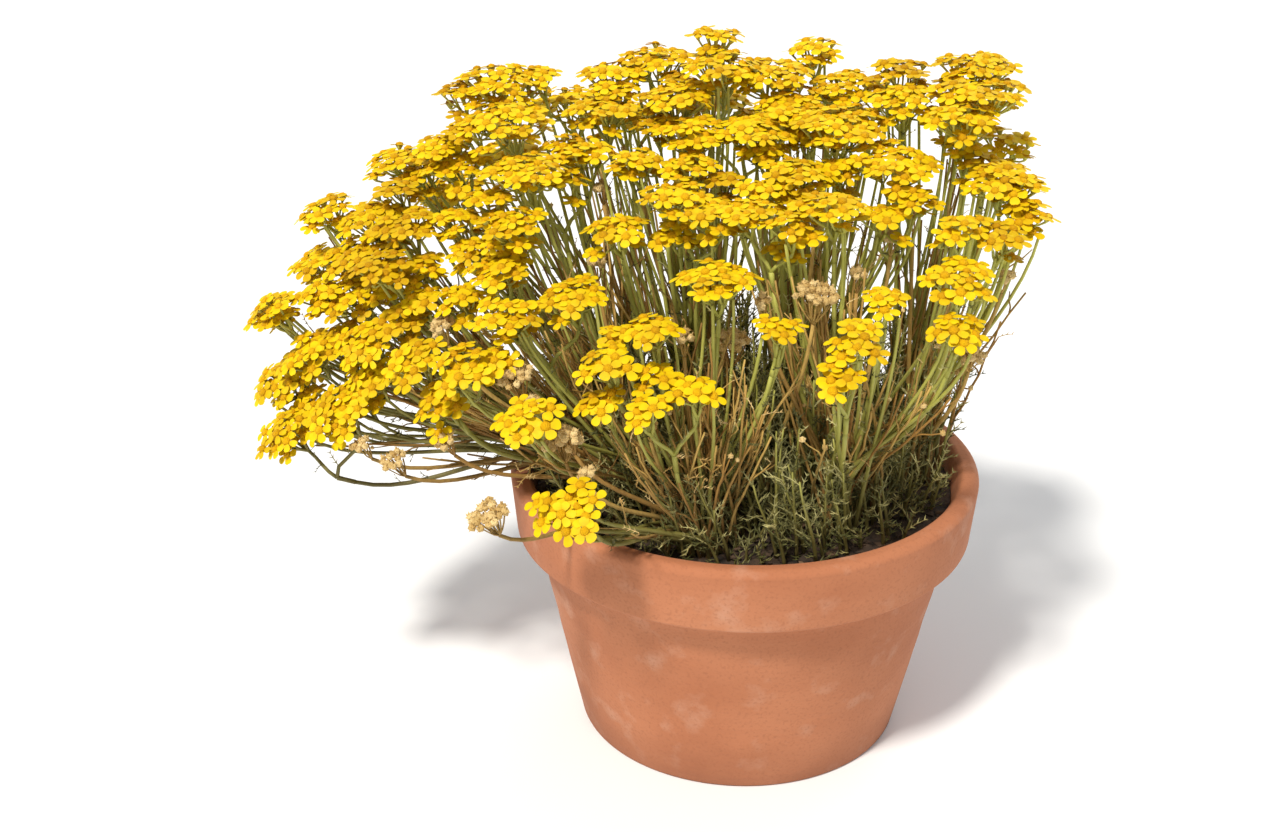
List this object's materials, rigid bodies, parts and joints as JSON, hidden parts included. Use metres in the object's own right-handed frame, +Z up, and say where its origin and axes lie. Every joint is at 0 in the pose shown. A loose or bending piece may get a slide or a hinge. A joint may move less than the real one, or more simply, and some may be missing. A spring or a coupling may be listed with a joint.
{
  "type": "potted golden yarrow",
  "caption": "Golden yarrow in flower in a plain round clay pot: forked leafy stems carry flat-topped clusters of small yellow flower heads above dark soil.",
  "frame": {"origin": "middle of the pot's flat underside", "axes": "+Z up along the pot's axis, +Y towards the back of the plant, -X towards the side that spills over the rim"},
  "size_m": [0.4124, 0.2919, 0.3627],
  "materials": {
    "petals": "matt petals with a golden disc",
    "stems": "matt, ribbed, grey-green",
    "dry": "matt, dry",
    "soil": "rough bark compost",
    "clay": "matt fired clay"
  },
  "bodies": {
    "root": {"flower_spray_west_1": "petals", "flower_spray_west_2": "petals", "flower_spray_west_3": "petals", "flower_spray_west_4": "petals", "flower_spray_west_5": "petals", "flower_spray_west_6": "petals", "flower_spray_west_7": "petals", "stems_west": "stems", "flower_spray_northwest_1": "petals", "flower_spray_northwest_2": "petals", "flower_spray_northwest_3": "petals", "flower_spray_northwest_4": "petals", "stems_northwest": "stems", "flower_spray_midwest_1": "petals", "flower_spray_midwest_2": "petals", "flower_spray_midwest_3": "petals", "flower_spray_midwest_4": "petals", "flower_spray_midwest_5": "petals", "flower_spray_midwest_6": "petals", "stems_midwest": "stems", "flower_spray_south_1": "petals", "flower_spray_south_2": "petals", "flower_spray_south_3": "petals", "flower_spray_south_4": "petals", "flower_spray_south_5": "petals", "stems_south": "stems", "flower_spray_centre_1": "petals", "flower_spray_centre_2": "petals", "flower_spray_centre_3": "petals", "flower_spray_centre_4": "petals", "flower_spray_centre_5": "petals", "flower_spray_centre_6": "petals", "flower_spray_centre_7": "petals", "stems_centre": "stems", "flower_spray_inner_east_1": "petals", "flower_spray_inner_east_2": "petals", "flower_spray_inner_east_3": "petals", "flower_spray_inner_east_4": "petals", "flower_spray_inner_east_5": "petals", "flower_spray_inner_east_6": "petals", "flower_spray_inner_east_7": "petals", "stems_inner_east": "stems", "flower_spray_southeast_1": "petals", "flower_spray_southeast_2": "petals", "flower_spray_southeast_3": "petals", "flower_spray_southeast_4": "petals", "flower_spray_southeast_5": "petals", "stems_southeast": "stems", "flower_spray_east_1": "petals", "flower_spray_east_2": "petals", "flower_spray_east_3": "petals", "flower_spray_east_4": "petals", "flower_spray_east_5": "petals", "flower_spray_east_6": "petals", "flower_spray_east_7": "petals", "stems_east": "stems", "dry_spray_west": "dry", "dry_spray_east": "dry", "soil": "soil", "pot": "clay"}
  },
  "joints": []
}
